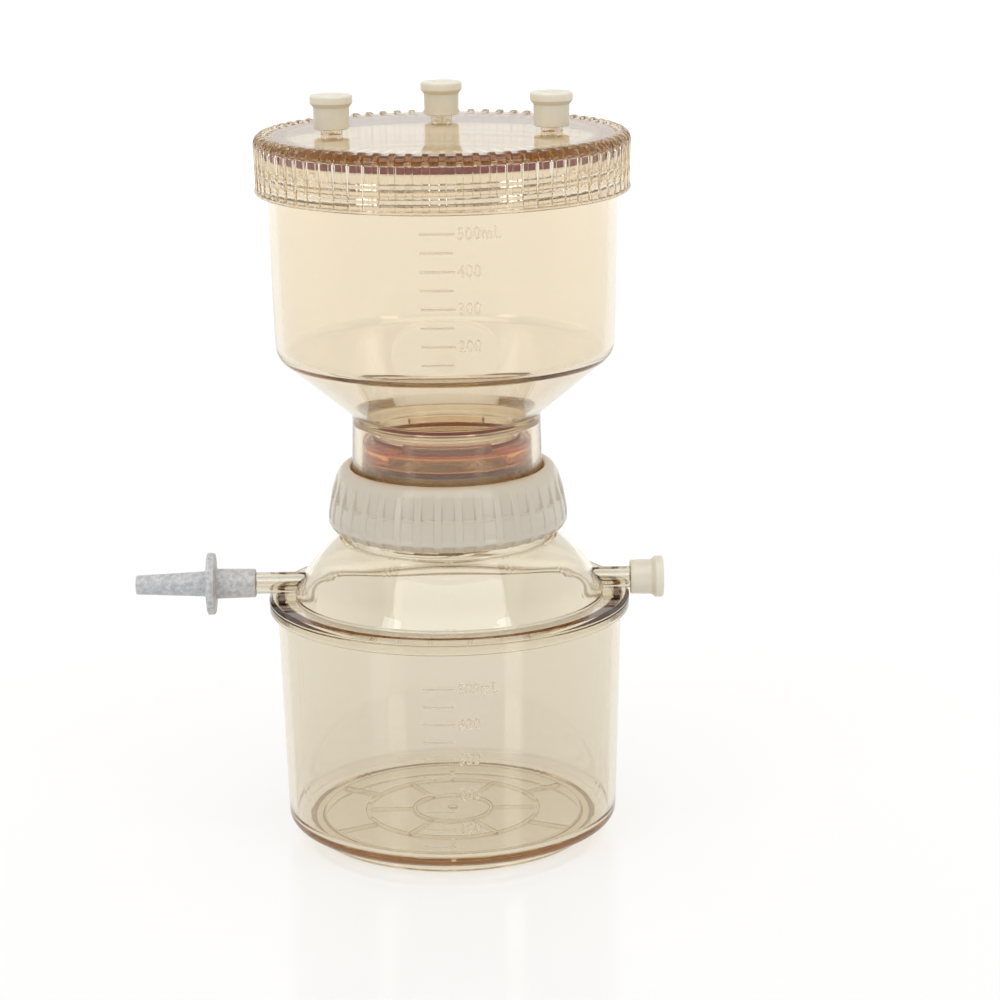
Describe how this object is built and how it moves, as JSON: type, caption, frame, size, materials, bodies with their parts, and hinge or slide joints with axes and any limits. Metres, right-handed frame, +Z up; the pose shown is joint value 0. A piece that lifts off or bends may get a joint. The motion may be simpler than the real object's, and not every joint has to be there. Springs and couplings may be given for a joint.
{
  "type": "vacuum filtration unit",
  "caption": "Clear vacuum filtration unit: graduated upper chamber with a ribbed screw cover, clamped by a threaded collar on a graduated receiver with side arms.",
  "frame": {"origin": "centre of the foot ring on the plane the unit stands on", "axes": "+Z up along the common axis of receiver, collar, chamber and cover; -X towards the tubing adapter, +X towards the capped side arm; the graduations face -Y"},
  "size_m": [0.1719, 0.1192, 0.2425],
  "materials": {
    "chamber_clear": "clear amber-tinted moulded plastic, high gloss",
    "receiver_clear": "clear smoky amber moulded plastic, high gloss",
    "cover_clear": "clear amber-tinted moulded plastic, fine mould texture on the grip ribs",
    "collar_ivory": "translucent ivory moulded plastic, satin",
    "plate_amber": "translucent amber moulded plastic",
    "cap_milky": "milky translucent soft plastic, satin",
    "adapter_grey": "pale grey plastic, faintly mottled, satin",
    "red_silicone": "brick red silicone rubber, dull"
  },
  "bodies": {
    "receiver": {"receiver_body": "receiver_clear", "receiver_shoulder": "receiver_clear", "support_plate": "plate_amber", "support_plate_o_ring": "red_silicone"},
    "chamber": {"upper_chamber": "chamber_clear", "chamber_gasket": "red_silicone"},
    "collar": {"locking_collar": "collar_ivory"},
    "cover_seal": {"cover_gasket": "red_silicone"},
    "cover": {"cover": "cover_clear"},
    "left_cap": {"port_cap_left": "cap_milky"},
    "back_cap": {"port_cap_back": "cap_milky"},
    "right_cap": {"port_cap_right": "cap_milky"},
    "arm_cap": {"side_arm_cap": "cap_milky"},
    "adapter": {"tubing_adapter": "adapter_grey"}
  },
  "joints": [
    {"name": "chamber_lift", "type": "slide", "parent": "receiver", "child": "chamber", "axis": [0, 0, 1], "range_m": [0, 0.034]},
    {"name": "collar_turn", "type": "hinge", "parent": "chamber", "child": "collar", "pos_m": [0, 0, 0.113], "axis": [0, 0, 1], "range_deg": [0, 1020]},
    {"name": "cover_lift", "type": "slide", "parent": "chamber", "child": "cover_seal", "axis": [0, 0, 1], "range_m": [0, 0.0132]},
    {"name": "cover_turn", "type": "hinge", "parent": "cover_seal", "child": "cover", "pos_m": [0, 0, 0.2271], "axis": [0, 0, 1], "range_deg": [0, 1080]},
    {"name": "left_cap_pull", "type": "slide", "parent": "cover", "child": "left_cap", "axis": [0, 0, 1], "range_m": [0, 0.01]},
    {"name": "back_cap_pull", "type": "slide", "parent": "cover", "child": "back_cap", "axis": [0, 0, 1], "range_m": [0, 0.01]},
    {"name": "right_cap_pull", "type": "slide", "parent": "cover", "child": "right_cap", "axis": [0, 0, 1], "range_m": [0, 0.01]},
    {"name": "arm_cap_pull", "type": "slide", "parent": "receiver", "child": "arm_cap", "axis": [1, 0, 0], "range_m": [0, 0.011]},
    {"name": "adapter_pull", "type": "slide", "parent": "receiver", "child": "adapter", "axis": [-1, 0, 0], "range_m": [0, 0.008]}
  ],
  "couplings": [
    {"joint": "chamber_lift", "follows": "collar_turn", "m_per_rad": 0.0019099},
    {"joint": "cover_lift", "follows": "cover_turn", "m_per_rad": 0.00070028}
  ]
}
